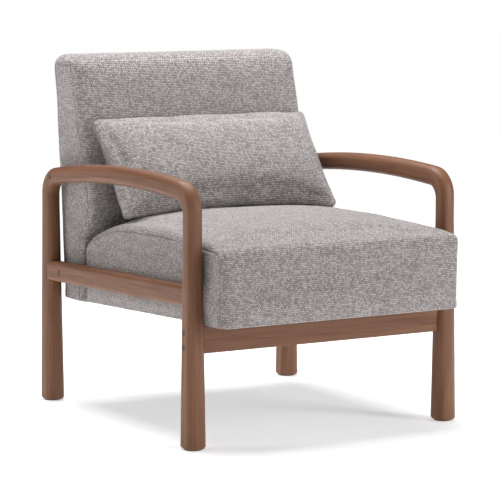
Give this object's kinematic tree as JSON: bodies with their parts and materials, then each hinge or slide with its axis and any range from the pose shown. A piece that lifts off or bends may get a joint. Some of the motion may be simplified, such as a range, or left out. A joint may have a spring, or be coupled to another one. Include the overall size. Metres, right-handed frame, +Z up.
{
  "type": "wooden armchair",
  "caption": "Wooden armchair with bent arm frames, tapered legs, an upholstered seat and wedge back, and a loose lumbar pillow that lifts off.",
  "frame": {"origin": "on the floor under the middle of the overall box", "axes": "+Z up, -Y towards the front of the chair, +X to the right as seen from the front"},
  "size_m": [0.6704, 0.78, 0.785],
  "materials": {
    "walnut": "walnut-stained hardwood, satin lacquer",
    "end_grain": "dark stained end grain, satin",
    "beech": "plain sawn beech, unfinished",
    "plywood": "plywood, unfinished",
    "hardboard": "brown hardboard",
    "steel": "zinc-plated steel",
    "spring_steel": "dark oiled spring steel",
    "nylon": "black nylon",
    "tweed": "warm grey heather tweed",
    "foam": "cut polyurethane foam",
    "fibre": "white polyester fibre",
    "dust_cloth": "black non-woven cloth"
  },
  "bodies": {
    "chair": {"arm_left": "walnut", "arm_right": "walnut", "back_board": "hardboard", "back_cover": "tweed", "back_foam": "foam", "back_panel_left": "plywood", "back_panel_right": "plywood", "back_rail_bottom": "beech", "back_rail_middle": "beech", "back_rail_top": "beech", "bolt_apron_lower_left": "steel", "bolt_apron_lower_right": "steel", "bolt_apron_upper_left": "steel", "bolt_apron_upper_right": "steel", "bolt_back_lower_left": "steel", "bolt_back_lower_right": "steel", "bolt_back_upper_left": "steel", "bolt_back_upper_right": "steel", "bolt_seat_front_left": "steel", "bolt_seat_front_right": "steel", "bolt_seat_rear_left": "steel", "bolt_seat_rear_right": "steel", "dowel_front_left": "beech", "dowel_front_right": "beech", "dowel_rear_left": "beech", "dowel_rear_right": "beech", "front_apron": "walnut", "front_leg_left": "walnut", "front_leg_right": "walnut", "glide_front_left": "nylon", "glide_front_right": "nylon", "glide_rear_left": "nylon", "glide_rear_right": "nylon", "plug_apron_lower_left": "end_grain", "plug_apron_lower_right": "end_grain", "plug_apron_upper_left": "end_grain", "plug_apron_upper_right": "end_grain", "plug_back_lower_left": "end_grain", "plug_back_lower_right": "end_grain", "plug_back_upper_left": "end_grain", "plug_back_upper_right": "end_grain", "rear_leg_left": "walnut", "rear_leg_right": "walnut", "seat_board_front": "beech", "seat_board_left": "beech", "seat_board_rear": "beech", "seat_board_right": "beech", "seat_cover": "tweed", "seat_dust_cloth": "dust_cloth", "seat_foam": "foam", "seat_spring_1": "spring_steel", "seat_spring_2": "spring_steel", "seat_spring_3": "spring_steel", "seat_spring_4": "spring_steel", "side_rail_left": "walnut", "side_rail_right": "walnut"},
    "pillow": {"pillow_cover": "tweed", "pillow_filling": "fibre", "pillow_zip": "dust_cloth"}
  },
  "joints": [
    {"name": "pillow_lift", "type": "slide", "parent": "chair", "child": "pillow", "axis": [0, 0, 1], "range_m": [0, 0.3]}
  ]
}
